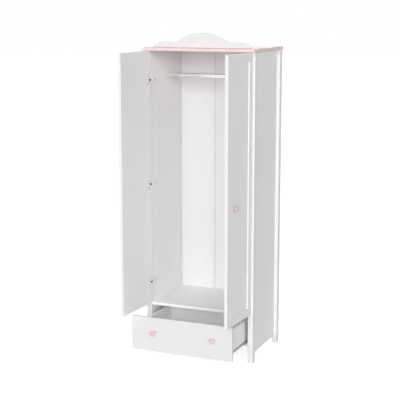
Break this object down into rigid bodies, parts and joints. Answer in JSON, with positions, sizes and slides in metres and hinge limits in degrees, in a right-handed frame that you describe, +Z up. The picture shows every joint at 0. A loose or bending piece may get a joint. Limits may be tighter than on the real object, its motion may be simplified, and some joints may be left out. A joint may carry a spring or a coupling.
{
  "type": "two-door wardrobe with drawer",
  "caption": "Tall white wardrobe on square posts with a coloured top, shaped crest board, hinged doors with sunk fields, a hanging rail and a pull-out drawer below.",
  "frame": {"origin": "on the floor at the centre of the rectangle over the four posts", "axes": "+X to the right seen from the front, +Y to the back, +Z up"},
  "size_m": [0.7838, 0.8735, 2.0915],
  "materials": {
    "white_lacquer": "satin white lacquer on board",
    "pink_lacquer": "satin pale pink lacquer",
    "white_hardboard": "white faced hardboard",
    "white_strip": "extruded white plastic",
    "chrome": "bright plated tube",
    "nickel_steel": "nickel plated",
    "zinc": "grey coated sheet steel",
    "beech": "bare beech",
    "nylon": "moulded nylon"
  },
  "bodies": {
    "carcass": {"post_front_left": "white_lacquer", "post_front_right": "white_lacquer", "post_back_left": "white_lacquer", "post_back_right": "white_lacquer", "side_panel_left": "white_lacquer", "side_panel_right": "white_lacquer", "top_board": "pink_lacquer", "crest_board": "white_lacquer", "bottom_shelf": "white_lacquer", "front_stretcher": "white_lacquer", "back_rail": "white_lacquer", "back_panel_left": "white_hardboard", "back_panel_middle": "white_hardboard", "back_panel_right": "white_hardboard", "back_joint_strips": "white_strip", "back_screws": "nickel_steel", "hanging_rail": "chrome", "rail_holders": "nickel_steel", "rail_holder_screws": "nickel_steel", "hinge_plates_left": "nickel_steel", "hinge_plates_right": "nickel_steel", "hinge_arms_left": "nickel_steel", "hinge_arms_right": "nickel_steel", "plate_screws": "nickel_steel", "foot_glides": "nylon", "side_dowels": "beech", "rail_dowels": "beech", "top_dowels": "beech", "crest_dowels": "beech", "cam_housings": "zinc", "cam_bolts": "nickel_steel", "runner_battens": "white_lacquer", "batten_screws": "nickel_steel", "cabinet_runner_left": "zinc", "cabinet_runner_right": "zinc", "cabinet_runner_screws": "nickel_steel"},
    "left_door": {"door_leaf_left": "white_lacquer", "hinge_cups_left": "nickel_steel", "hinge_pins_left": "nickel_steel", "cup_screws_left": "nickel_steel", "door_knob_left": "pink_lacquer", "door_knob_screw_left": "nickel_steel"},
    "right_door": {"door_leaf_right": "white_lacquer", "hinge_cups_right": "nickel_steel", "hinge_pins_right": "nickel_steel", "cup_screws_right": "nickel_steel", "door_knob_right": "pink_lacquer", "door_knob_screw_right": "nickel_steel"},
    "drawer": {"drawer_front": "white_lacquer", "drawer_side_left": "white_lacquer", "drawer_side_right": "white_lacquer", "drawer_back": "white_lacquer", "drawer_bottom": "white_hardboard", "drawer_knobs": "pink_lacquer", "drawer_knob_screws": "nickel_steel", "drawer_runner_left": "zinc", "drawer_runner_right": "zinc", "drawer_runner_screws": "nickel_steel", "drawer_dowels": "beech"}
  },
  "joints": [
    {"name": "left_door_hinge", "type": "hinge", "parent": "carcass", "child": "left_door", "pos_m": [-0.35, -0.27, 1.125], "axis": [0, 0, -1], "range_deg": [-93.7, 2.3]},
    {"name": "right_door_hinge", "type": "hinge", "parent": "carcass", "child": "right_door", "pos_m": [0.35, -0.27, 1.125], "axis": [0, 0, 1], "range_deg": [-86.8, 9.2]},
    {"name": "drawer_slide", "type": "slide", "parent": "carcass", "child": "drawer", "axis": [0, -1, 0], "range_m": [-0.266, 0.06]}
  ]
}
